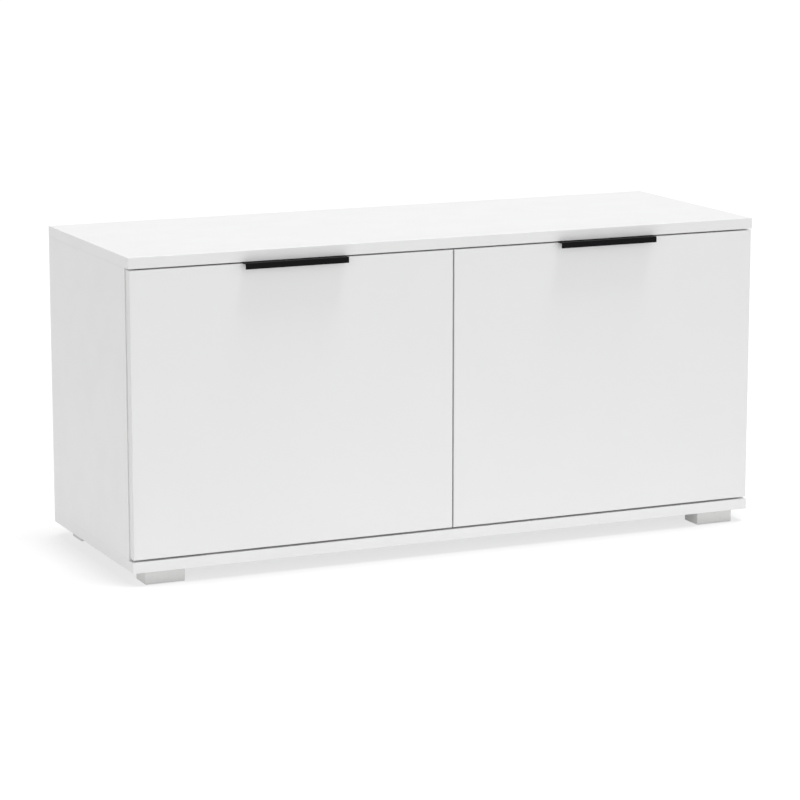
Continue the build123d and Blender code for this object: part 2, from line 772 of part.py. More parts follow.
# Magnetic catches under the top panel and their strike plates on the doors
for name, side in SIDES.items():
    x = side * catch_x
    half_ears = catch_width / 2 + catch_ear_length
    magnet_z = ceiling_z - catch_height / 2 - catch_ear_height / 2
    with BuildPart() as catch_housing:
        block(
            (x - catch_width / 2, catch_y, ceiling_z - catch_height),
            (x + catch_width / 2, catch_y + catch_depth, ceiling_z),
        )
        chamfer(catch_housing.edges().filter_by(Axis.Z), catch_corner)
        block(
            (x - half_ears, catch_y, ceiling_z - catch_ear_height),
            (x + half_ears, catch_y + catch_depth, ceiling_z),
        )
        block(
            (x - magnet_width / 2 - fit, catch_y, magnet_z - magnet_height / 2 - fit),
            (x + magnet_width / 2 + fit, catch_y + magnet_depth + fit, magnet_z + magnet_height / 2 + fit),
            mode=Mode.SUBTRACT,
        )
        drill(catch_screw_seats_at(side), small_screw)
    save(catch_housing, f"{name}_catch_housing")

    with BuildPart() as catch_magnet:
        block(
            (x - magnet_width / 2, catch_y, magnet_z - magnet_height / 2),
            (x + magnet_width / 2, catch_y + magnet_depth, magnet_z + magnet_height / 2),
        )
    save(catch_magnet, f"{name}_catch_magnet")

    with BuildPart() as strike_plate:
        block(
            (x - strike_length / 2, door_back_y, strike_z - strike_height / 2),
            (x + strike_length / 2, door_back_y + strike_sheet, strike_z + strike_height / 2),
        )
        chamfer(strike_plate.edges().filter_by(Axis.Y), strike_corner)
        drill(strike_screw_seats(side), small_screw)
    save(strike_plate, f"{name}_strike_plate")

with BuildPart() as catch_screws:
    add_screws(catch_screw_seats, small_screw)
save(catch_screws, "catch_screws")

# Bumpers that meet the front edges of the side panel and the divider
bumper_height = door_gap - bumper_play
bumper_xs = ((side_inner_x + door_outer_x) / 2, (divider_x + door_inner_x) / 2)
bumper_zs = (door_low_z + bumper_low_inset, door_high_z - bumper_top_inset)
for name, side in SIDES.items():
    bumper_points = [(side * x, door_back_y, z) for x in bumper_xs for z in bumper_zs]
    with BuildPart() as bumpers:
        pegs(facing(BACK, bumper_points), bumper_radius, bumper_height)
    save(bumpers, f"{name}_bumpers")
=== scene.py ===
# %% [markdown]
# A low white television stand with two drop-down doors. The solid model gives every board and
# fitting its place. This lesson gives the pieces their finishes, makes the small turned fittings
# that the solid model only blocks out, and sets up a floor, soft light and a camera.

# %% Load the frame
import json
import math
import bmesh
import bpy
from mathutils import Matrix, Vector


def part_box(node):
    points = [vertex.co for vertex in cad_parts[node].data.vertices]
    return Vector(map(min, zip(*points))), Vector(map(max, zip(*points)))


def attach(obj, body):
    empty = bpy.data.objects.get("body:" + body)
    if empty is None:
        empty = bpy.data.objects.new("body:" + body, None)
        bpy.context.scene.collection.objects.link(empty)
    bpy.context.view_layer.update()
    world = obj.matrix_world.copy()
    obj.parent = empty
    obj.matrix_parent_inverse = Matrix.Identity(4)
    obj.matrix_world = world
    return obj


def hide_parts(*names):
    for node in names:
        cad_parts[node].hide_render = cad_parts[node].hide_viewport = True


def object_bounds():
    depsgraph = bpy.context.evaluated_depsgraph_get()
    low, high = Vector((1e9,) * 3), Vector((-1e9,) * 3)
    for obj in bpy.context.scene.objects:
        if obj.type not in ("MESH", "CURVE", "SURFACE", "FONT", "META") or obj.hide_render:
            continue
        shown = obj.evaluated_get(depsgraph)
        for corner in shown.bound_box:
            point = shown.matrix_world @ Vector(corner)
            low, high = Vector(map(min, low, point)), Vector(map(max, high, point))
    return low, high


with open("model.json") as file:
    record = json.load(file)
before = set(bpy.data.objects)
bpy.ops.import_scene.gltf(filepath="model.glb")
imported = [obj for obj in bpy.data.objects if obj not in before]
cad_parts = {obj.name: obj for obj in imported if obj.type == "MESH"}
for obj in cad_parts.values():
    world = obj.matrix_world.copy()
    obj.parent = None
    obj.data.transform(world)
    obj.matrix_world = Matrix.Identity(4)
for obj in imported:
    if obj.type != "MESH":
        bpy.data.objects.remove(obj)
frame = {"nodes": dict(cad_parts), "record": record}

solid_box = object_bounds()
nodes = frame["nodes"]

# %% [markdown]
# Colours are easiest to read as the hex values that a paint card or an image editor shows. The
# shaders work with linear light, so one function turns the first into the second. Sizes are easiest
# to read in millimetres, while Blender counts in metres here, so one value stands for a millimetre.

# %% Colours and millimetres
MM = 0.001


def linear(hex_colour):
    """Linear RGBA of an sRGB hex colour."""
    parts = [int(hex_colour[i:i + 2], 16) / 255 for i in (1, 3, 5)]
    return tuple(p / 12.92 if p <= 0.04045 else ((p + 0.055) / 1.055) ** 2.4 for p in parts) + (1.0,)


paint_card = "#f3f3f2"
print("a paint card's", paint_card, "is", [round(part, 3) for part in linear(paint_card)[:3]],
      "in linear light")

# %% [markdown]
# A material is a tree of nodes. It could be clicked together in the Shader Editor. In a script one
# helper is enough, which adds a node together with its options, the values of its sockets and the
# links that feed them. A second helper starts a finish: it hands out the shader, and the object's
# own coordinates to lay patterns out in, because a pattern in those stays on a door that moves.

# %% Nodes and finishes
def add_node(tree, kind, values=None, links=None, **settings):
    """Adds a node: settings are its options, values fill its sockets, links feed them."""
    node = tree.nodes.new(kind)
    for option, value in settings.items():
        setattr(node, option, value)
    for socket, value in (values or {}).items():
        node.inputs[socket].default_value = value
    for socket, source in (links or {}).items():
        tree.links.new(source, node.inputs[socket])
    return node


def new_finish(name, **shader_values):
    """A material with a Principled shader; returns it with its tree, shader and object coordinates."""
    material = bpy.data.materials.new(name)
    material.use_nodes = True
    tree = material.node_tree
    shader = tree.nodes["Principled BSDF"]
    for socket, value in shader_values.items():
        shader.inputs[socket.replace("_", " ")].default_value = value
    place = add_node(tree, "ShaderNodeTexCoord").outputs["Object"]
    return material, tree, shader, place


print("helpers:", add_node.__name__, "and", new_finish.__name__)

# %% [markdown]
# The carcass is melamine-faced chipboard: paper soaked in resin, pressed against a plate with a
# fine pearl grain. It could be one flat white, but then its sheen would be as even as glass. A
# noise of about 1.2 mm, drawn a little coarser than the real 0.5 mm grain so that it shows, dimples
# the surface and varies its roughness, and a slow cloudiness moves the white by a hair.

# %% White melamine
pearl_grain, cloudiness = 1.2 * MM, 60 * MM
melamine, tree, shader, place = new_finish("White melamine, pearl pressed", IOR=1.5)
cloud = add_node(tree, "ShaderNodeTexNoise", {"Scale": 1 / cloudiness, "Detail": 2.0}, {"Vector": place})
tone = add_node(tree, "ShaderNodeValToRGB", links={"Fac": cloud.outputs["Fac"]})
tone.color_ramp.elements[0].position, tone.color_ramp.elements[0].color = 0.35, linear("#eeeeee")
tone.color_ramp.elements[1].position, tone.color_ramp.elements[1].color = 0.65, linear("#f0f0f0")
tree.links.new(tone.outputs["Color"], shader.inputs["Base Color"])
pearl = add_node(tree, "ShaderNodeTexNoise", {"Scale": 1 / pearl_grain, "Detail": 2.0, "Roughness": 0.4},
                 {"Vector": place})
satin = add_node(tree, "ShaderNodeMapRange", {"To Min": 0.36, "To Max": 0.48},
                 {"Value": pearl.outputs["Fac"]})
tree.links.new(satin.outputs["Result"], shader.inputs["Roughness"])
dimple = add_node(tree, "ShaderNodeBump", {"Strength": 0.25, "Distance": 0.02 * MM},
                  {"Height": pearl.outputs["Fac"]})
tree.links.new(dimple.outputs["Normal"], shader.inputs["Normal"])
print("made", melamine.name)

# %% [markdown]
# The doors are faced with high-gloss foil over board. A gloss white looks flat from the front and
# mirrors softly along its length. It could be a perfect mirror under clear coat, but foil keeps a
# slight waviness, the orange peel of a few millimetres that gives away a laminated door.

# %% Gloss white foil
orange_peel, cloudiness = 6 * MM, 120 * MM
gloss_foil, tree, shader, place = new_finish(
    "White high-gloss foil, laminated", IOR=1.5, Coat_Roughness=0.05)
cloud = add_node(tree, "ShaderNodeTexNoise", {"Scale": 1 / cloudiness, "Detail": 1.0}, {"Vector": place})
tone = add_node(tree, "ShaderNodeValToRGB", links={"Fac": cloud.outputs["Fac"]})
tone.color_ramp.elements[0].position, tone.color_ramp.elements[0].color = 0.3, linear("#eeeeee")
tone.color_ramp.elements[1].position, tone.color_ramp.elements[1].color = 0.7, linear("#efefef")
peel = add_node(tree, "ShaderNodeTexNoise", {"Scale": 1 / orange_peel, "Detail": 1.0, "Roughness": 0.3},
                {"Vector": place})
wave = add_node(tree, "ShaderNodeBump", {"Strength": 0.12, "Distance": 0.01 * MM},
                {"Height": peel.outputs["Fac"]})
tree.links.new(wave.outputs["Normal"], shader.inputs["Normal"])
tree.links.new(wave.outputs["Normal"], shader.inputs["Coat Normal"])
print("made", gloss_foil.name)

# %% [markdown]
# The foil ends at the rim: the edges of a door are closed with 1 mm of satin ABS tape. Two materials
# would need the mesh cut along the tape, and the solids are left as they are, so the position on the
# door tells foil and tape apart. The doors mirror each other, so the distance from the stand's
# middle serves for both: a point less than a tape's thickness from the door's rim is on the tape.

# %% Edge tape on the doors
tape = 1.0 * MM
door_low, door_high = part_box("right_door_panel")
axes = add_node(tree, "ShaderNodeSeparateXYZ", links={"Vector": place})
sideways = add_node(tree, "ShaderNodeMath", links={0: axes.outputs["X"]}, operation="ABSOLUTE")
rims = []
for measure, low, high in ((sideways.outputs[0], door_low.x, door_high.x),
                           (axes.outputs["Z"], door_low.z, door_high.z)):
    from_centre = add_node(tree, "ShaderNodeMath", {1: (low + high) / 2}, {0: measure},
                           operation="SUBTRACT")
    off_centre = add_node(tree, "ShaderNodeMath", links={0: from_centre.outputs[0]}, operation="ABSOLUTE")
    rims.append(add_node(tree, "ShaderNodeMath", {1: (high - low) / 2 - tape}, {0: off_centre.outputs[0]},
                         operation="GREATER_THAN").outputs[0])
on_tape = add_node(tree, "ShaderNodeMath", links=dict(enumerate(rims)), operation="MAXIMUM").outputs[0]
foil_or_tape = add_node(tree, "ShaderNodeMix", {7: linear("#ebebeb")},
                        {"Factor": on_tape, 6: tone.outputs["Color"]}, data_type="RGBA")
tree.links.new(foil_or_tape.outputs[2], shader.inputs["Base Color"])
for socket, on_foil, off_foil in (("Roughness", 0.22, 0.45), ("Coat Weight", 0.6, 0.0)):
    skin = add_node(tree, "ShaderNodeMapRange", {"To Min": on_foil, "To Max": off_foil}, {"Value": on_tape})
    tree.links.new(skin.outputs["Result"], shader.inputs[socket])
print("tape round a door of", [round(size / MM) for size in door_high - door_low], "mm")

# %% [markdown]
# The back is thin hardboard: pressed wood fibres, painted white on the side that is seen when a
# door is open and left raw and brown towards the wall. Again the position tells the faces apart,
# this time along Y, and a distorted noise draws the fibres.

# %% Hardboard back
fibre_width, skin_depth = 3 * MM, 0.2 * MM
hardboard, tree, shader, place = new_finish(
    "Hardboard, painted inside, raw outside", Roughness=0.6, IOR=1.48)
fibre = add_node(tree, "ShaderNodeTexNoise", {"Scale": 1 / fibre_width, "Detail": 4.0, "Distortion": 1.2},
                 {"Vector": place})
raw = add_node(tree, "ShaderNodeValToRGB", links={"Fac": fibre.outputs["Fac"]})
raw.color_ramp.elements[0].position, raw.color_ramp.elements[0].color = 0.3, linear("#8d6f52")
raw.color_ramp.elements[1].position, raw.color_ramp.elements[1].color = 0.7, linear("#a98863")
painted = add_node(tree, "ShaderNodeValToRGB", links={"Fac": fibre.outputs["Fac"]})
painted.color_ramp.elements[0].color = linear("#e9e9e8")
painted.color_ramp.elements[1].color = linear("#efefee")
axes = add_node(tree, "ShaderNodeSeparateXYZ", links={"Vector": place})
rear_skin_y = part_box("back_panel")[1].y - skin_depth
rear = add_node(tree, "ShaderNodeMath", {1: rear_skin_y}, {0: axes.outputs["Y"]}, operation="GREATER_THAN")
faces = add_node(tree, "ShaderNodeMix", data_type="RGBA", links={
    "Factor": rear.outputs[0], 6: painted.outputs["Color"], 7: raw.outputs["Color"]})
tree.links.new(faces.outputs[2], shader.inputs["Base Color"])
felt = add_node(tree, "ShaderNodeBump", {"Strength": 0.3, "Distance": 0.05 * MM},
                {"Height": fibre.outputs["Fac"]})
tree.links.new(felt.outputs["Normal"], shader.inputs["Normal"])
print("made", hardboard.name)

# %% [markdown]
# The handles are sheet steel with a matt black powder coat. A flat black would look like a hole in
# the door. Powder melts into a fine sand-like grain that scatters the light, so a bump roughens the
# face, and its low specular level keeps the black deep even facing a white room. The 0.3 mm grain
# is drawn at 0.8 mm, so that it shows.

# %% Black powder coat
powder_grain = 0.8 * MM
powder_coat, tree, shader, place = new_finish(
    "Black powder coat, fine grain", Roughness=0.55, IOR=1.5, Specular_IOR_Level=0.07)
grain = add_node(tree, "ShaderNodeTexNoise", {"Scale": 1 / powder_grain, "Detail": 2.0}, {"Vector": place})
tone = add_node(tree, "ShaderNodeValToRGB", links={"Fac": grain.outputs["Fac"]})
tone.color_ramp.elements[0].position, tone.color_ramp.elements[0].color = 0.3, linear("#0e0e0f")
tone.color_ramp.elements[1].position, tone.color_ramp.elements[1].color = 0.7, linear("#161617")
tree.links.new(tone.outputs["Color"], shader.inputs["Base Color"])
sand = add_node(tree, "ShaderNodeBump", {"Strength": 0.4, "Distance": 0.05 * MM},
                {"Height": grain.outputs["Fac"]})
tree.links.new(sand.outputs["Normal"], shader.inputs["Normal"])
print("made", powder_coat.name)

# %% [markdown]
# The feet are moulded plastic with a silver lacquer. They could be plain metal, but lacquer is grey
# plastic that carries tiny flakes: a low metallic share, and Voronoi cells that make the tone
# glitter a little from point to point. Flakes of 0.1 mm are drawn at 0.9 mm, so that they show.

# %% Silver lacquered plastic
flake_size = 0.9 * MM
silver_plastic, tree, shader, place = new_finish(
    "ABS, silver lacquered", Roughness=0.45, IOR=1.53, Metallic=0.25)
flake = add_node(tree, "ShaderNodeTexVoronoi", {"Scale": 1 / flake_size}, {"Vector": place})
tone = add_node(tree, "ShaderNodeValToRGB", links={"Fac": flake.outputs["Color"]})
tone.color_ramp.elements[0].color = linear("#d1d1d0")
tone.color_ramp.elements[1].color = linear("#dddddc")
tree.links.new(tone.outputs["Color"], shader.inputs["Base Color"])
print("made", silver_plastic.name)

# %% [markdown]
# Hinges, brackets, rods and screws are steel with bright zinc plate. With one roughness all over it
# would pass for chrome. Zinc crystals leave faint cloudy patches of different gloss, so tone and
# roughness follow a noise of a few millimetres.

# %% Zinc plated steel
crystal_patch = 5 * MM
zinc_plate, tree, shader, place = new_finish("Steel, bright zinc plated", Metallic=1.0)
patch = add_node(tree, "ShaderNodeTexNoise", {"Scale": 1 / crystal_patch, "Detail": 3.0}, {"Vector": place})
tone = add_node(tree, "ShaderNodeValToRGB", links={"Fac": patch.outputs["Fac"]})
tone.color_ramp.elements[0].color = linear("#b4b8bd")
tone.color_ramp.elements[1].color = linear("#cfd2d6")
tree.links.new(tone.outputs["Color"], shader.inputs["Base Color"])
gloss = add_node(tree, "ShaderNodeMapRange", {"To Min": 0.22, "To Max": 0.4},
                 {"Value": patch.outputs["Fac"]})
tree.links.new(gloss.outputs["Result"], shader.inputs["Roughness"])
print("made", zinc_plate.name)

# %% [markdown]
# The cam discs are cast from zinc alloy. A casting isn't plated, so it has a dull skin with small
# pits: the same metal shader, rougher, with a bump.

# %% Die-cast zinc
pit_size = 1.5 * MM
cast_zinc, tree, shader, place = new_finish("Zinc alloy, die cast", Metallic=1.0, Roughness=0.5)
pits = add_node(tree, "ShaderNodeTexNoise", {"Scale": 1 / pit_size, "Detail": 3.0}, {"Vector": place})
tone = add_node(tree, "ShaderNodeValToRGB", links={"Fac": pits.outputs["Fac"]})
tone.color_ramp.elements[0].color = linear("#9c9ea1")
tone.color_ramp.elements[1].color = linear("#b9bbbd")
tree.links.new(tone.outputs["Color"], shader.inputs["Base Color"])
skin = add_node(tree, "ShaderNodeBump", {"Strength": 0.35, "Distance": 0.05 * MM},
                {"Height": pits.outputs["Fac"]})
tree.links.new(skin.outputs["Normal"], shader.inputs["Normal"])
print("made", cast_zinc.name)

# %% [markdown]
# Dowels are beech: pale wood with short brown flecks along the grain. A picture of wood would need
# unwrapping and would repeat. Noise does neither. The dowels stand upright, so a Mapping node
# stretches it along Z, ten times as long as wide.

# %% Beech
fleck_width, fleck_length = 0.8 * MM, 8 * MM
beech, tree, shader, place = new_finish("Beech, turned", Roughness=0.55, IOR=1.5)
along = add_node(tree, "ShaderNodeMapping", {"Scale": (1 / fleck_width, 1 / fleck_width, 1 / fleck_length)},
                 {"Vector": place})
fleck = add_node(tree, "ShaderNodeTexNoise", {"Scale": 1.0, "Detail": 3.0},
                 {"Vector": along.outputs["Vector"]})
tone = add_node(tree, "ShaderNodeValToRGB", links={"Fac": fleck.outputs["Fac"]})
tone.color_ramp.elements[0].position, tone.color_ramp.elements[0].color = 0.35, linear("#b58b5c")
tone.color_ramp.elements[1].position, tone.color_ramp.elements[1].color = 0.65, linear("#d3b183")
tree.links.new(tone.outputs["Color"], shader.inputs["Base Color"])
print("made", beech.name)

# %% [markdown]
# Swivel blocks and catch housings are moulded nylon, a milky white. Painted white would look hard.
# A little subsurface scattering lets the light in, and a bump gives the spark-eroded texture that
# the mould left, drawn at 0.9 mm where the real one is nearer to 0.1 mm.

# %% White nylon
spark_pit, milk_depth = 0.9 * MM, 1.0 * MM
nylon, tree, shader, place = new_finish(
    "Nylon, moulded white", Roughness=0.5, IOR=1.53, Subsurface_Weight=0.1, Subsurface_Scale=milk_depth)
spark = add_node(tree, "ShaderNodeTexNoise", {"Scale": 1 / spark_pit, "Detail": 2.0}, {"Vector": place})
tone = add_node(tree, "ShaderNodeValToRGB", links={"Fac": spark.outputs["Fac"]})
tone.color_ramp.elements[0].color = linear("#e4e3de")
tone.color_ramp.elements[1].color = linear("#edece8")
tree.links.new(tone.outputs["Color"], shader.inputs["Base Color"])
mould = add_node(tree, "ShaderNodeBump", {"Strength": 0.2, "Distance": 0.03 * MM},
                 {"Height": spark.outputs["Fac"]})
tree.links.new(mould.outputs["Normal"], shader.inputs["Normal"])
print("made", nylon.name)

# %% [markdown]
# The catch magnets are black ferrite, a sintered ceramic with a dry face. It is rougher than the
# handles' coat and a shade lighter, with a grit of about 0.7 mm that varies the tone.

# %% Ferrite
grit_size = 0.7 * MM
ferrite, tree, shader, place = new_finish("Ferrite, sintered", Roughness=0.7, IOR=1.8)
grit = add_node(tree, "ShaderNodeTexNoise", {"Scale": 1 / grit_size, "Detail": 3.0}, {"Vector": place})
tone = add_node(tree, "ShaderNodeValToRGB", links={"Fac": grit.outputs["Fac"]})
tone.color_ramp.elements[0].color = linear("#252527")
tone.color_ramp.elements[1].color = linear("#37373a")
tree.links.new(tone.outputs["Color"], shader.inputs["Base Color"])
print("made", ferrite.name)

# %% [markdown]
# The bumpers are soft drops of clear polyurethane. Fully clear they would vanish on the white door.
# Real ones look milky, so about half of the light passes and the rest meets a hazy body.

# %% Bumper drops
haze_size = 2 * MM
soft_drop, tree, shader, place = new_finish(
    "Polyurethane, cast clear", Roughness=0.12, IOR=1.5, Transmission_Weight=0.55)
haze = add_node(tree, "ShaderNodeTexNoise", {"Scale": 1 / haze_size, "Detail": 1.0}, {"Vector": place})
tone = add_node(tree, "ShaderNodeValToRGB", links={"Fac": haze.outputs["Fac"]})
tone.color_ramp.elements[0].color = linear("#dfe3e3")
tone.color_ramp.elements[1].color = linear("#eef0f0")
tree.links.new(tone.outputs["Color"], shader.inputs["Base Color"])
print("made", soft_drop.name)

# %% [markdown]
# The record says which finish each solid has. Materials could be given out piece by piece, but with
# that list a loop does it, and no solid is forgotten.

# %% Finishes on the solids
finishes = {
    "gloss_white_lacquer": gloss_foil,
    "white_melamine_board": melamine,
    "white_hardboard": hardboard,
    "black_coated_steel": powder_coat,
    "silver_foot_plastic": silver_plastic,
    "zinc_plated_steel": zinc_plate,
    "die_cast_zinc": cast_zinc,
    "beech_dowel": beech,
    "white_fitting_plastic": nylon,
    "black_ferrite": ferrite,
    "clear_bumper_rubber": soft_drop,
}
slot_of = {entry["node"]: entry["material_slot"] for entry in frame["record"]["subparts"]}
for name, solid in nodes.items():
    solid.data.materials.clear()
    solid.data.materials.append(finishes[slot_of[name]])
print("finishes on", len(slot_of), "solids")

# %% [markdown]
# Screws, cam discs, shelf pins and bumpers are small turned fittings that repeat many times. In the
# solid model they are plain six-sided pegs. Each could be modelled by hand and copied, but one
# Geometry Nodes tree can make them all. Its inputs are like the fields of an order form: the points
# where fittings go, their finish, a seed for what is random, and the sizes a turner would ask for.

# %% Order form of a turned fitting
fitting_tree = bpy.data.node_groups.new("Turned fitting", "GeometryNodeTree")
fitting_sizes = ("Head radius", "Head height", "Crown", "Shank radius", "Shank length",
                 "Cross length", "Cross width", "Cross depth")
fields = {"Seats": "Geometry", "Finish": "Material", "Seed": "Int", **dict.fromkeys(fitting_sizes, "Float")}
input_id = {}
for field, kind in fields.items():
    socket = fitting_tree.interface.new_socket(field, in_out="INPUT", socket_type="NodeSocket" + kind)
    input_id[field] = socket.identifier
fitting_tree.interface.new_socket("Fittings", in_out="OUTPUT", socket_type="NodeSocketGeometry")
given = add_node(fitting_tree, "NodeGroupInput").outputs
print("order form:", ", ".join(input_id))

# %% [markdown]
# The head starts as a cylinder, like the blank in a lathe. Its end could stay flat, but pressed
# heads are domed. Each point of the upper end sinks by the crown times the square of its share of
# the radius, which is a parabola: nothing at the axis, the whole crown at the rim.

# %% Domed head
head_sides, head_rings = 32, 4
blank = add_node(fitting_tree, "GeometryNodeMeshCylinder",
                 {"Vertices": head_sides, "Fill Segments": head_rings},
                 {"Radius": given["Head radius"], "Depth": given["Head height"]}, fill_type="TRIANGLE_FAN")
point = add_node(fitting_tree, "GeometryNodeInputPosition").outputs["Position"]
point_z = add_node(fitting_tree, "ShaderNodeSeparateXYZ", links={"Vector": point}).outputs["Z"]
on_top = add_node(fitting_tree, "ShaderNodeMath", {1: 0.0}, {0: point_z}, operation="GREATER_THAN")
flat = add_node(fitting_tree, "ShaderNodeVectorMath", {1: (1, 1, 0)}, {0: point}, operation="MULTIPLY")
from_axis = add_node(fitting_tree, "ShaderNodeVectorMath", links={0: flat.outputs["Vector"]},
                     operation="LENGTH")
share = add_node(fitting_tree, "ShaderNodeMath", operation="DIVIDE",
                 links={0: from_axis.outputs["Value"], 1: given["Head radius"]})
square = add_node(fitting_tree, "ShaderNodeMath", {1: 2.0}, {0: share.outputs[0]}, operation="POWER")
fall = add_node(fitting_tree, "ShaderNodeMath", {1: -1.0}, {0: given["Crown"]}, operation="MULTIPLY")
drop = add_node(fitting_tree, "ShaderNodeMath", links={0: square.outputs[0], 1: fall.outputs[0]},
                operation="MULTIPLY")
down = add_node(fitting_tree, "ShaderNodeCombineXYZ", links={"Z": drop.outputs[0]})
domed = add_node(fitting_tree, "GeometryNodeSetPosition", links={
    "Geometry": blank.outputs["Mesh"], "Selection": on_top.outputs[0], "Offset": down.outputs[0]})
print("domed head with", head_sides, "sides")

# %% [markdown]
# The driver's cross is cut by two bars with a Boolean. A dark cross in the material would be quicker
# to make, but it would look painted on where light falls along the head. Where the bars cross, the
# cut leaves doubled points, and Merge by Distance joins them to a closed skin. A fitting that has no
# cross, such as a shelf pin, goes round the cut by a Switch. Then the head is raised onto its seat.

# %% Driver's cross
doubled_within = 0.001 * MM
half_head = add_node(fitting_tree, "ShaderNodeMath", {1: 0.5}, {0: given["Head height"]},
                     operation="MULTIPLY")
up = add_node(fitting_tree, "ShaderNodeCombineXYZ", links={"Z": half_head.outputs[0]})
bar_height = add_node(fitting_tree, "ShaderNodeMath", {1: 2.0}, {0: given["Cross depth"]},
                      operation="MULTIPLY")
cut = add_node(fitting_tree, "GeometryNodeMeshBoolean", links={"Mesh 1": domed.outputs["Geometry"]},
               operation="DIFFERENCE", solver="EXACT")
for along, across in (("X", "Y"), ("Y", "X")):
    size = add_node(fitting_tree, "ShaderNodeCombineXYZ", links={
        along: given["Cross length"], across: given["Cross width"], "Z": bar_height.outputs[0]})
    bar = add_node(fitting_tree, "GeometryNodeMeshCube", links={"Size": size.outputs[0]})
    raised_bar = add_node(fitting_tree, "GeometryNodeTransform",
                          links={"Geometry": bar.outputs["Mesh"], "Translation": up.outputs[0]})
    fitting_tree.links.new(raised_bar.outputs["Geometry"], cut.inputs["Mesh 2"])
closed = add_node(fitting_tree, "GeometryNodeMergeByDistance", {"Distance": doubled_within},
                  {"Geometry": cut.outputs["Mesh"]})
has_cross = add_node(fitting_tree, "ShaderNodeMath", {1: 0.0}, {0: given["Cross depth"]},
                     operation="GREATER_THAN")
head = add_node(fitting_tree, "GeometryNodeSwitch", input_type="GEOMETRY", links={
    "Switch": has_cross.outputs[0], "False": domed.outputs["Geometry"], "True": closed.outputs["Geometry"]})
raised_head = add_node(fitting_tree, "GeometryNodeTransform",
                       links={"Geometry": head.outputs[0], "Translation": up.outputs[0]})
print("cross of", len(cut.inputs["Mesh 2"].links), "bars")

# %% [markdown]
# Below the seat comes the shank, a thinner cylinder. A thread would be lost in the board, so there
# is none. Smooth shading lets the facets pass for round, and edges that bend by more than 35 degrees
# are kept crisp, or the rim of the head would look like soap.

# %% Shank and shading
shank_sides, crisp_from = 20, math.radians(35)
shank = add_node(fitting_tree, "GeometryNodeMeshCylinder", {"Vertices": shank_sides},
                 {"Radius": given["Shank radius"], "Depth": given["Shank length"]})
half_shank = add_node(fitting_tree, "ShaderNodeMath", {1: -0.5}, {0: given["Shank length"]},
                      operation="MULTIPLY")
below = add_node(fitting_tree, "ShaderNodeCombineXYZ", links={"Z": half_shank.outputs[0]})
sunk_shank = add_node(fitting_tree, "GeometryNodeTransform",
                      links={"Geometry": shank.outputs["Mesh"], "Translation": below.outputs[0]})
has_shank = add_node(fitting_tree, "ShaderNodeMath", {1: 0.0}, {0: given["Shank length"]},
                     operation="GREATER_THAN")
optional_shank = add_node(fitting_tree, "GeometryNodeSwitch", input_type="GEOMETRY", links={
    "Switch": has_shank.outputs[0], "True": sunk_shank.outputs["Geometry"]})
whole = add_node(fitting_tree, "GeometryNodeJoinGeometry")
for part in (raised_head.outputs["Geometry"], optional_shank.outputs[0]):
    fitting_tree.links.new(part, whole.inputs["Geometry"])
round_faces = add_node(fitting_tree, "GeometryNodeSetShadeSmooth", {"Shade Smooth": True},
                       {"Geometry": whole.outputs["Geometry"]}, domain="FACE")
bend = add_node(fitting_tree, "GeometryNodeInputMeshEdgeAngle").outputs["Unsigned Angle"]
gentle = add_node(fitting_tree, "ShaderNodeMath", {1: crisp_from}, {0: bend}, operation="LESS_THAN")
crisp = add_node(fitting_tree, "GeometryNodeSetShadeSmooth", domain="EDGE", links={
    "Geometry": round_faces.outputs["Geometry"], "Shade Smooth": gentle.outputs[0]})
print("shank with", shank_sides, "sides")

# %% [markdown]
# Instance on Points sets a fitting on every seat. It stands along the seat's direction, which the
# points carry as an attribute, and is turned by a random angle, because nobody drives two screws to
# the same angle. Realize Instances makes real faces of them, which the exported model needs.

# %% One on every seat
seat_direction = add_node(fitting_tree, "GeometryNodeInputNamedAttribute", {"Name": "seat_direction"},
                          data_type="FLOAT_VECTOR")
upright = add_node(fitting_tree, "FunctionNodeAlignRotationToVector",
                   links={"Vector": seat_direction.outputs["Attribute"]}, axis="Z")
turn = add_node(fitting_tree, "FunctionNodeRandomValue", {2: 0.0, 3: math.tau}, {"Seed": given["Seed"]},
                data_type="FLOAT")
spin = add_node(fitting_tree, "FunctionNodeAxisAngleToRotation", {"Axis": (0, 0, 1)},
                {"Angle": turn.outputs[1]})
standing = add_node(fitting_tree, "FunctionNodeRotateRotation", rotation_space="LOCAL", links={
    "Rotation": upright.outputs["Rotation"], "Rotate By": spin.outputs["Rotation"]})
placed = add_node(fitting_tree, "GeometryNodeInstanceOnPoints", links={
    "Points": given["Seats"], "Instance": crisp.outputs["Geometry"],
    "Rotation": standing.outputs["Rotation"]})
real = add_node(fitting_tree, "GeometryNodeRealizeInstances",
                links={"Geometry": placed.outputs["Instances"]})
finished = add_node(fitting_tree, "GeometryNodeSetMaterial",
                    links={"Geometry": real.outputs["Geometry"], "Material": given["Finish"]})
add_node(fitting_tree, "NodeGroupOutput", links={"Fittings": finished.outputs["Geometry"]})
print("tree:", fitting_tree.name, "with", len(fitting_tree.nodes), "nodes")

# %% [markdown]
# The pegs tell the tree where fittings go. Their places could be typed in, but then a change to the
# solid model would leave the screws behind. Pegs that share a node are one mesh, so a walk along the
# edges gathers the points of one peg after the other, and each peg's box is measured.

# %% Where the pegs are
merge_distance = 0.01 * MM


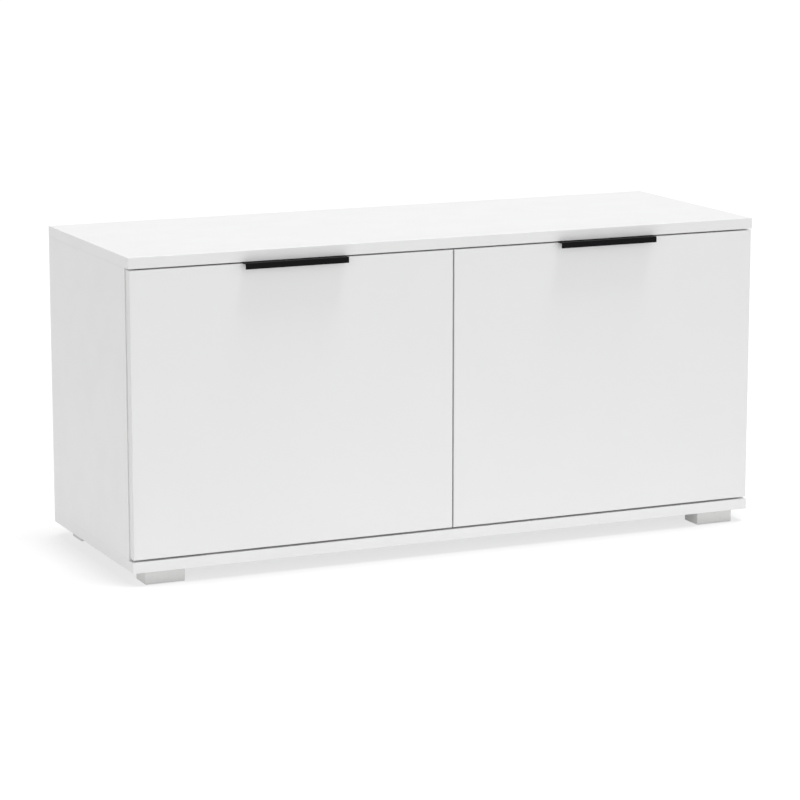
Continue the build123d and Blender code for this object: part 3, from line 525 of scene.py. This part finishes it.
def solids_in(node_name):
    """Lowest and highest corner of every separate solid in a node."""
    mesh = bmesh.new()
    mesh.from_mesh(nodes[node_name].data)
    bmesh.ops.remove_doubles(mesh, verts=mesh.verts, dist=merge_distance)
    boxes, waiting = [], set(mesh.verts)
    while waiting:
        reached = [waiting.pop()]
        for vert in reached:
            linked = {edge.other_vert(vert) for edge in vert.link_edges} & waiting
            waiting -= linked
            reached += linked
        corners = list(zip(*(vert.co for vert in reached)))
        boxes.append((Vector(map(min, corners)), Vector(map(max, corners))))
    mesh.free()
    return sorted(boxes, key=lambda box: tuple(round(value, 5) for value in box[0]))


print("pegs:", {name: len(solids_in(name)) for name in ("foot_screws", "shelf_pins", "cam_discs")})

# %% [markdown]
# A new piece stands for solids of the model: those are hidden, and the piece moves with the body
# that they belong to.

# %% Standing for a solid
body_of = {node: body for body, names in frame["record"]["behaviour"]["bodies"].items() for node in names}


def put_in_place(piece, *replaced):
    """Shows a piece instead of solids and lets it ride with them."""
    bpy.context.scene.collection.objects.link(piece)
    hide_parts(*replaced)
    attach(piece, body_of[replaced[0]])


print("bodies:", ", ".join(sorted(set(body_of.values()))))

# %% [markdown]
# An order names its sizes in millimetres, as a catalogue does. A helper puts them in the fields of
# the order form, so that a screw is one short line. A screw for a hinge plate is ordered here.

# %% Ordering a fitting
def turned(head_radius, head_height, crown, shank_radius, shank_length, cross=(0, 0, 0)):
    """The sizes of a fitting in metres, from millimetres."""
    values = (head_radius, head_height, crown, shank_radius, shank_length, *cross)
    return dict(zip(fitting_sizes, (value * MM for value in values)))


panel_screw = turned(3.5, 2.2, 0.8, 1.7, 12.0, cross=(4.0, 0.9, 1.3))
print("panel screw:", {name: round(size / MM, 2) for name, size in panel_screw.items()})

# %% [markdown]
# A fitting replaces its pegs one for one. The seat is where the head meets the board, measured back
# from the outer end of the peg. The tree sits on a mesh that is only those points. Its result is
# turned into a plain mesh, and the object that carried the tree is removed.

# %% From pegs to fittings
UP, DOWN, BACKWARDS = (0, 0, 1), (0, 0, -1), (0, 1, 0)


def fit(piece_name, node_name, facing, sizes, lift=0.0):
    """Fits one turned fitting for each peg of a node, facing the given way."""
    places, directions = [], []
    for low, high in solids_in(node_name):
        centre = (low + high) / 2
        way = facing(centre) if callable(facing) else Vector(facing)
        half_depth = abs(way.dot(high - low)) / 2
        places.append(centre + way * (half_depth + lift - sizes["Head height"]))
        directions.extend(way)
    seats = bpy.data.meshes.new(piece_name + "_seats")
    seats.from_pydata(places, [], [])
    seats.attributes.new("seat_direction", "FLOAT_VECTOR", "POINT").data.foreach_set("vector", directions)
    maker = bpy.data.objects.new(piece_name + "_maker", seats)
    bpy.context.scene.collection.objects.link(maker)
    tree_modifier = maker.modifiers.new("Turned fitting", "NODES")
    tree_modifier.node_group = fitting_tree
    for name, size in sizes.items():
        tree_modifier[input_id[name]] = size
    tree_modifier[input_id["Finish"]] = finishes[slot_of[node_name]]
    tree_modifier[input_id["Seed"]] = len(places)
    mesh = bpy.data.meshes.new_from_object(maker.evaluated_get(bpy.context.evaluated_depsgraph_get()))
    bpy.data.objects.remove(maker)
    put_in_place(bpy.data.objects.new(piece_name, mesh), node_name)
    print(piece_name, len(places), "fittings,", len(mesh.polygons), "faces")


foot_screw = turned(4.0, 2.6, 0.9, 1.7, 21.0, cross=(4.6, 1.0, 1.5))
fit("turned_foot_screws", "foot_screws", DOWN, foot_screw)

# %% [markdown]
# The screws of the feet were driven upwards, so their heads face down, and so do those of the
# catches. The hinge plates' screws face up, and the stay brackets' face sideways into the
# compartment, which is to the left or to the right depending on the board.

# %% Screws of the carcass
small_screw = turned(3.0, 1.8, 0.7, 1.4, 11.5, cross=(3.4, 0.8, 1.1))


def inwards(centre):
    """Sideways into the compartment: away from a side panel, or away from the divider."""
    at_side_panel = abs(centre.x) > solid_box[1].x / 2
    return Vector((-1 if (centre.x > 0) == at_side_panel else 1, 0, 0))


fit("turned_hinge_screws", "hinge_screws", UP, panel_screw)
fit("turned_stay_bracket_screws", "stay_bracket_screws", inwards, panel_screw)
fit("turned_catch_screws", "catch_screws", DOWN, small_screw)

# %% [markdown]
# A cam disc is a drum in a blind hole with a wide shallow cross, turned to draw the cam bolt in. Its
# lid stands 0.2 mm proud of the board. A shelf pin is half in its hole and half under the shelf.

# %% Cam discs and shelf pins
proud = 0.2 * MM
cam_disc = turned(7.6, 3.2, 0.1, 6.4, 8.8, cross=(9.0, 1.8, 2.4))
shelf_pin = turned(2.5, 8.0, 0.6, 2.4, 6.4)
fit("turned_cam_discs", "cam_discs", inwards, cam_disc, lift=proud)
fit("turned_shelf_pins", "shelf_pins", inwards, shelf_pin)

# %% [markdown]
# On the back of each door are the screws of the hinge cups and of the handle, and the bumper drops,
# which are heads without a shank, as high as the pegs that they replace.

# %% Fittings on the doors
for side in ("left", "right"):
    fit(side + "_turned_door_screws", side + "_door_screws", BACKWARDS, small_screw)
    fit(side + "_turned_handle_screws", side + "_handle_screws", BACKWARDS, small_screw)
    lowest, highest = solids_in(side + "_bumpers")[0]
    bumper_drop = turned(2.8, (highest.y - lowest.y) / MM, 0.7, 0.0, 0.0)
    fit(side + "_bumper_drops", side + "_bumpers", BACKWARDS, bumper_drop)

# %% [markdown]
# The feet are moulded blocks with soft corners. A Bevel modifier would round all edges alike. A
# moulded block has more at its corners than at its rim, so two bevels in mesh code follow each
# other: first the uprights, then the rim that meets the floor.

# %% Foot block
foot_corner, foot_rim = 2.0 * MM, 0.7 * MM
corner_steps, rim_steps, round_profile = 5, 3, 0.5


def foot_block(low, high):
    """A block between two corners, with rounded uprights and a softened lower rim."""
    block = bmesh.new()
    bmesh.ops.create_cube(block, size=1.0)
    for vert in block.verts:
        vert.co = (low + high) / 2 + vert.co * (high - low)
    uprights = [edge for edge in block.edges if abs(edge.verts[0].co.z - edge.verts[1].co.z) > foot_corner]
    bmesh.ops.bevel(block, geom=uprights, offset=foot_corner, segments=corner_steps,
                    profile=round_profile, affect="EDGES")
    rim = [edge for edge in block.edges if max(vert.co.z for vert in edge.verts) < low.z + foot_rim]
    bmesh.ops.bevel(block, geom=rim, offset=foot_rim, segments=rim_steps,
                    profile=round_profile, affect="EDGES")
    return block


foot_low, foot_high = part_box("front_left_foot")
print("foot of", [round(size / MM) for size in foot_high - foot_low], "mm")

# %% [markdown]
# Each foot has two deep screw holes: wide for the head, then narrow for the shank. A drawn-on dark
# spot would show no screw head when the stand is turned over, so the holes are real. Cylinders where
# the screws are serve as the cutters.

# %% Screw holes
counterbore_radius, counterbore_depth, clearance_radius = 5.0 * MM, 12.0 * MM, 2.1 * MM
hole_sides = 32


def screw_holes(low, high):
    """The cutters for the screws of the foot between two corners."""
    holes = bmesh.new()
    for screw_low, screw_high in solids_in("foot_screws"):
        if not (low.x < screw_low.x < high.x and low.y < screw_low.y < high.y):
            continue
        axis = (screw_low + screw_high) / 2
        for radius, bottom, top in ((counterbore_radius, -counterbore_depth, counterbore_depth),
                                    (clearance_radius, 0.0, 2 * high.z)):
            made = bmesh.ops.create_cone(holes, cap_ends=True, segments=hole_sides, depth=top - bottom,
                                         radius1=radius, radius2=radius)
            middle = (axis.x, axis.y, low.z + (top + bottom) / 2)
            bmesh.ops.translate(holes, verts=made["verts"], vec=middle)
    return holes


print("screw holes", 2 * counterbore_radius / MM, "mm wide and", counterbore_depth / MM, "mm deep")

# %% [markdown]
# A Boolean takes the cutters out of the block. The modifier could stay on the foot, but a finished
# piece is a plain mesh, so the result is read from the evaluated object and the helpers go.

# %% Moulded feet
crisp_foot_edge = math.radians(30)
for corner in ("front_left", "front_right", "rear_left", "rear_right"):
    foot_low, foot_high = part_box(corner + "_foot")
    helpers = []
    for role, make in (("_block", foot_block), ("_holes", screw_holes)):
        shape = make(foot_low, foot_high)
        mesh = bpy.data.meshes.new(corner + role)
        shape.to_mesh(mesh)
        shape.free()
        helpers.append(bpy.data.objects.new(corner + role, mesh))
        bpy.context.scene.collection.objects.link(helpers[-1])
    carve = helpers[0].modifiers.new("Screw holes", "BOOLEAN")
    carve.operation, carve.object, carve.use_self = "DIFFERENCE", helpers[1], True
    mesh = bpy.data.meshes.new_from_object(helpers[0].evaluated_get(bpy.context.evaluated_depsgraph_get()))
    for helper in helpers:
        bpy.data.objects.remove(helper)
    mesh.materials.clear()
    mesh.materials.append(silver_plastic)
    mesh.shade_smooth()
    mesh.set_sharp_from_angle(angle=crisp_foot_edge)
    put_in_place(bpy.data.objects.new(corner + "_moulded_foot", mesh), corner + "_foot")
    print(corner + "_moulded_foot", len(mesh.polygons), "faces")

# %% [markdown]
# Furniture is shown on a white sweep: one large pale plane that fades into a white background. Its
# material answers two questions apart: what light does it throw back at the stand, and what does
# someone see who looks at it, straight or in a mirror? Light Path tells such rays from the rest.

# %% Floor plane and seen rays
floor_reach = 30
corners = [(x * floor_reach, y * floor_reach, 0) for x, y in ((-1, -1), (1, -1), (1, 1), (-1, 1))]
floor_mesh = bpy.data.meshes.new("floor")
floor_mesh.from_pydata(corners, [], [(0, 1, 2, 3)])
floor = bpy.data.objects.new("floor", floor_mesh)
bpy.context.scene.collection.objects.link(floor)


def seen_rays(tree):
    """1 for rays from the camera, straight or by way of a mirror or glass, and 0 for other light."""
    path = add_node(tree, "ShaderNodeLightPath").outputs
    straight = add_node(tree, "ShaderNodeMath", links={0: path["Is Camera Ray"], 1: path["Is Glossy Ray"]},
                        operation="MAXIMUM")
    return add_node(tree, "ShaderNodeMath", links={0: straight.outputs[0], 1: path["Is Transmission Ray"]},
                    operation="MAXIMUM").outputs[0]


print("floor", 2 * floor_reach, "m wide")

# %% [markdown]
# The light it throws back: a studio floor is flooded by lamps, brightest in a pool round the stand
# and darker further out, and little light gets under the stand. Those lamps could all be built. Here
# an emission stands for them, which fades with distance and stops under the stand, mixed with a
# bare white floor that returns what falls on it.

# %% Pool of light
pool_middle, pool_far = 0.95, 0.5
pool_start, pool_end = 0.3, 2.2
under_rim, outside_rim = -40 * MM, 10 * MM
bare_share = 0.45
sweep = bpy.data.materials.new("White studio floor")
sweep.use_nodes = True
tree = sweep.node_tree
tree.nodes.clear()
here = add_node(tree, "ShaderNodeTexCoord").outputs["Object"]
outwards = add_node(tree, "ShaderNodeVectorMath", links={0: here}, operation="LENGTH").outputs["Value"]
pool = add_node(tree, "ShaderNodeMapRange", {
    "From Min": pool_start, "From Max": pool_end, "To Min": pool_middle, "To Max": pool_far},
    {"Value": outwards}, interpolation_type="SMOOTHSTEP")
from_axes = add_node(tree, "ShaderNodeVectorMath", links={0: here}, operation="ABSOLUTE")
past_rim = add_node(tree, "ShaderNodeVectorMath", {1: solid_box[1]}, {0: from_axes.outputs["Vector"]},
                    operation="SUBTRACT")
past = add_node(tree, "ShaderNodeSeparateXYZ", links={"Vector": past_rim.outputs["Vector"]}).outputs
furthest = add_node(tree, "ShaderNodeMath", links={0: past["X"], 1: past["Y"]}, operation="MAXIMUM")
pool_light = add_node(tree, "ShaderNodeMapRange", {"From Min": under_rim, "From Max": outside_rim},
                      {"Value": furthest.outputs[0], "To Max": pool.outputs["Result"]})
lit = add_node(tree, "ShaderNodeEmission", {"Color": (1, 1, 1, 1)},
               {"Strength": pool_light.outputs["Result"]})
bare = add_node(tree, "ShaderNodeBsdfDiffuse", {"Color": linear("#f7f7f7")})
thrown_back = add_node(tree, "ShaderNodeMixShader", {"Fac": bare_share},
                       {1: lit.outputs[0], 2: bare.outputs[0]})
print("pool of light fades from", pool_start, "to", pool_end, "m")

# %% [markdown]
# What is seen of it: nearly pure white, so that it meets the background without an edge, with a
# share of real shading for the lamp's shadow. On a floor that white the shadow close round the stand
# would be lost. Ambient Occlusion finds it: it measures how much the stand covers the view upwards
# within 130 mm of a point, and there the white is turned down a little. In the open it is a little
# over 1, which makes up for the share that is shaded.

# %% Contact shadow
shadow_reach = 130 * MM
covered, clear = 0.45, 0.82
covered_white, clear_white = 0.89, 1.07
shading_share, contact_samples = 0.2, 16
contact = add_node(tree, "ShaderNodeAmbientOcclusion", {"Distance": shadow_reach}, samples=contact_samples)
fade = add_node(tree, "ShaderNodeMapRange", {
    "From Min": covered, "From Max": clear, "To Min": covered_white, "To Max": clear_white},
    {"Value": contact.outputs["AO"]}, interpolation_type="SMOOTHSTEP")
white = add_node(tree, "ShaderNodeEmission", {"Color": (1, 1, 1, 1)}, {"Strength": fade.outputs["Result"]})
shaded = add_node(tree, "ShaderNodeBsdfDiffuse", {"Color": (1, 1, 1, 1)})
shown = add_node(tree, "ShaderNodeMixShader", {"Fac": shading_share},
                 {1: white.outputs[0], 2: shaded.outputs[0]})
both = add_node(tree, "ShaderNodeMixShader", links={
    "Fac": seen_rays(tree), 1: thrown_back.outputs[0], 2: shown.outputs[0]})
add_node(tree, "ShaderNodeOutputMaterial", links={"Surface": both.outputs[0]})
floor_mesh.materials.append(sweep)
print("made", sweep.name, "with", len(tree.nodes), "nodes")

# %% [markdown]
# The room is the world: light walls, a dimmer ceiling, and a little more light from the right and
# from the front. One even grey would light the doors, the side and the top alike. Seen straight or
# in a mirror the room is plain white.

# %% White room
wall_light, ceiling_light, ceiling_from = 1.48, 0.3, 0.6
brighter_towards = (0.045, -0.12, 0.0)
world = bpy.data.worlds.new("White room")
bpy.context.scene.world = world
world.use_nodes = True
tree = world.node_tree
tree.nodes.clear()
direction = add_node(tree, "ShaderNodeTexCoord").outputs["Generated"]
lean = add_node(tree, "ShaderNodeVectorMath", {1: brighter_towards}, {0: direction},
                operation="DOT_PRODUCT")
height = add_node(tree, "ShaderNodeSeparateXYZ", links={"Vector": direction}).outputs["Z"]
room_light = add_node(tree, "ShaderNodeMapRange", {
    "From Max": ceiling_from, "To Min": wall_light, "To Max": ceiling_light},
    {"Value": height}, interpolation_type="SMOOTHSTEP")
leaning = add_node(tree, "ShaderNodeMath", operation="ADD",
                   links={0: lean.outputs["Value"], 1: room_light.outputs["Result"]})
level = add_node(tree, "ShaderNodeMapRange", {"To Max": 1.0},
                 {"Value": seen_rays(tree), "To Min": leaning.outputs[0]})
room = add_node(tree, "ShaderNodeBackground", {"Color": (1, 1, 1, 1)},
                {"Strength": level.outputs["Result"]})
add_node(tree, "ShaderNodeOutputWorld", links={"Surface": room.outputs[0]})
print("made", world.name, "with", len(tree.nodes), "nodes")

# %% [markdown]
# One large softbox hangs overhead, a little to the right in front. It makes the top the lightest
# face and throws the handles' soft shadows on the doors. An area lamp would light the near end more
# than the far one. A sun with a wide disc gives the same soft edge and lights the stand evenly.

# %% Softbox
softbox_data = bpy.data.lights.new("Softbox", "SUN")
softbox_data.angle = math.radians(14)
softbox_data.energy = 1.85
softbox = bpy.data.objects.new("Softbox", softbox_data)
bpy.context.scene.collection.objects.link(softbox)
softbox.location = (0.45, -0.27, 2.9)
softbox.rotation_euler = (-softbox.location).to_track_quat("-Z", "Y").to_euler()
print("softbox at", tuple(round(v, 2) for v in softbox.location))

# %% [markdown]
# The camera stands to the left in front, a little above the stand. It could stand nearer with a wide
# lens, but edges that run away from it converge only slightly, so it stands far off with a long one.
# Its place, its turn and its lens were worked out from the corners of the boards.

# %% Camera
looking_down, turned_right = math.radians(11.122), math.radians(24.221)
camera_data = bpy.data.cameras.new("Camera")
camera_data.sensor_width = 36.0
camera_data.lens = 140.83
camera = bpy.data.objects.new("Camera", camera_data)
bpy.context.scene.collection.objects.link(camera)
camera.location = (-1.9203, -4.25, 1.117)
camera.rotation_euler = (math.pi / 2 - looking_down, 0.0, -turned_right)
bpy.context.scene.camera = camera
bpy.context.scene.view_settings.view_transform = "Standard"
print("camera", round(camera.location.length, 2), "m away, lens", camera_data.lens, "mm")
